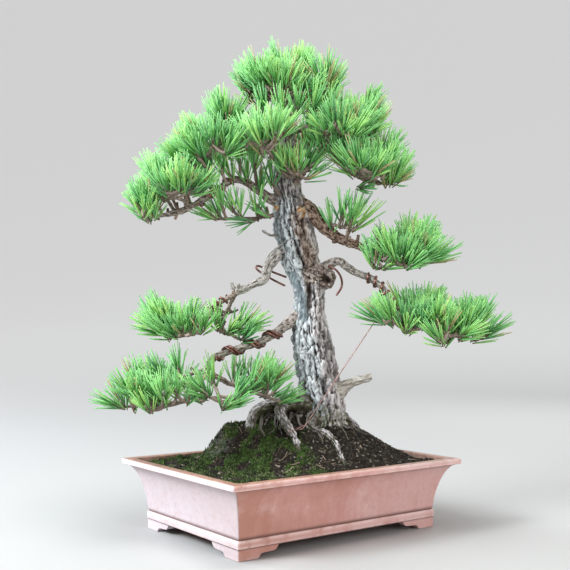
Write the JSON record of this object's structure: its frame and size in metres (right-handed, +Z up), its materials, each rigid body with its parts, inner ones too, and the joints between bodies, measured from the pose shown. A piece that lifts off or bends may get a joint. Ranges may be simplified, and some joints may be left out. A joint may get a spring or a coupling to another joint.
{
  "type": "bonsai pine in a pot",
  "caption": "Black pine bonsai with ridged trunk, surface roots and layered needle sprays on wired branches, in a shallow rectangular terracotta pot on cut feet.",
  "frame": {"origin": "centre of the foot of the whole object's bounding box, on the surface that the pot stands on", "axes": "+X along the pot's long sides, to the right; +Y across it, towards its back; +Z up. The tree's front looks 36.5 degrees off the pot's front, towards -X and -Y"},
  "size_m": [0.5326, 0.4554, 0.6748],
  "materials": {
    "clay": "matte",
    "soil": "matte",
    "bark": "matte",
    "needles": "satin",
    "copper_wire": "satin",
    "net": "matte"
  },
  "bodies": {
    "root": {"pot": "clay", "soil": "soil", "drain_screen_left": "net", "drain_screen_right": "net", "pine_wood": "bark", "wire_lower_left_outer": "copper_wire", "wire_lower_left_inner": "copper_wire", "wire_mid_left": "copper_wire", "wire_mid_left_hook": "copper_wire", "wire_crown_left": "copper_wire", "wire_right_lower": "copper_wire", "wire_knot": "copper_wire", "wire_crown_stub": "copper_wire", "guy_wire": "copper_wire", "spray_lower_left_tip": "needles", "spray_lower_left_back": "needles", "spray_lower_left_front": "needles", "spray_lower_left_top": "needles", "spray_lower_left_near_front": "needles", "spray_lower_left_near": "needles", "spray_lower_left_near_back": "needles", "spray_mid_left_tip": "needles", "spray_mid_left_front": "needles", "spray_mid_left_back": "needles", "spray_mid_left_near": "needles", "spray_right_lower_tip": "needles", "spray_right_lower_front": "needles", "spray_right_lower_back": "needles", "spray_right_lower_near_front": "needles", "spray_right_lower_near_back": "needles", "spray_right_upper_tip": "needles", "spray_right_upper_front": "needles", "spray_right_upper_back": "needles", "spray_right_upper_low": "needles", "spray_right_upper_near": "needles", "spray_crown_left_tip": "needles", "spray_crown_left_mid": "needles", "spray_crown_left_front": "needles", "spray_crown_left_back": "needles", "spray_crown_side_tip": "needles", "spray_crown_side_front": "needles", "spray_crown_side_back": "needles", "spray_crown_side_top": "needles", "spray_crown_top_left": "needles", "spray_crown_top_front": "needles", "spray_crown_top": "needles", "spray_crown_top_back": "needles", "spray_crown_top_right": "needles", "spray_crown_right_tip": "needles", "spray_crown_right_front": "needles", "spray_crown_right_back": "needles", "spray_crown_right_low": "needles", "spray_crown_right_low_front": "needles", "spray_crown_right_low_back": "needles", "spray_crown_front": "needles", "spray_crown_front_low": "needles", "spray_crown_low_left": "needles", "spray_crown_back": "needles", "spray_crown_back_left": "needles", "spray_crown_back_right": "needles"}
  },
  "joints": []
}
